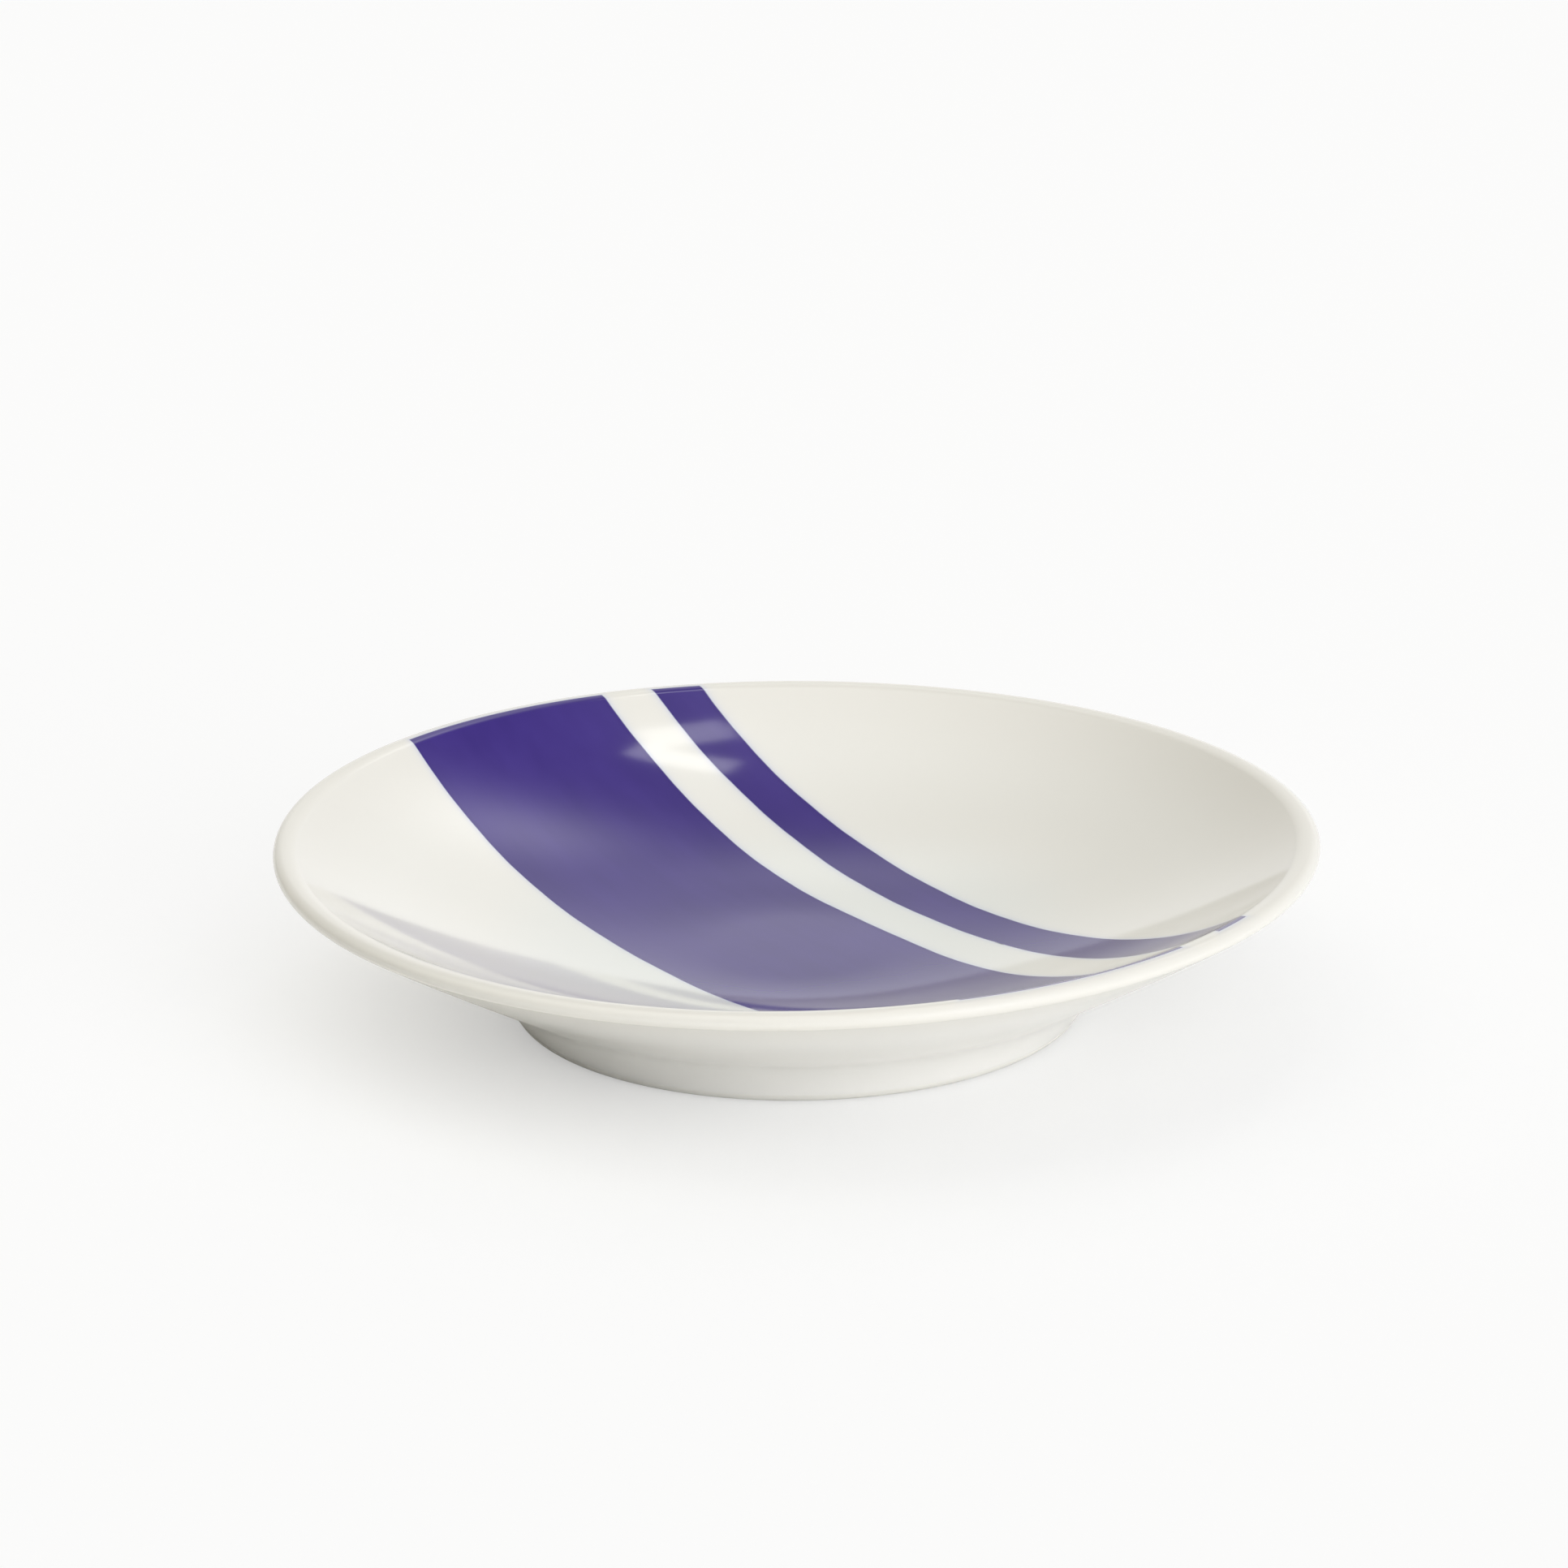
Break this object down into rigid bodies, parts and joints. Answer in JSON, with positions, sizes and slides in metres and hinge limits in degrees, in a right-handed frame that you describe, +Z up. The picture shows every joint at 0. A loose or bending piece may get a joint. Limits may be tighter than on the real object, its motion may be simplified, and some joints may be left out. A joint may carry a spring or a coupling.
{
  "type": "plate",
  "caption": "Shallow round porcelain plate with a sloping wall, a rounded lip and a foot ring, white glazed, with indigo bands painted across the face.",
  "frame": {"origin": "centre of the circle on which the foot ring stands, on the table's surface", "axes": "+Z up along the plate's axis; +X to the right and +Y away from the viewer, as in the picture"},
  "size_m": [0.15, 0.15, 0.026],
  "materials": {
    "porcelain": "matt, fired without glaze",
    "lip_glaze": "gloss, warm where the glaze is thin",
    "clear_glaze": "gloss",
    "indigo_glaze": "gloss over underglaze indigo"
  },
  "bodies": {
    "root": {"dish_body": "porcelain", "foot_ring": "porcelain", "lip_glaze": "lip_glaze", "outside_glaze": "clear_glaze", "underside_glaze": "clear_glaze", "front_clear_glaze": "clear_glaze", "broad_blue_band": "indigo_glaze", "middle_clear_glaze": "clear_glaze", "narrow_blue_band": "indigo_glaze", "back_clear_glaze": "clear_glaze"}
  },
  "joints": []
}
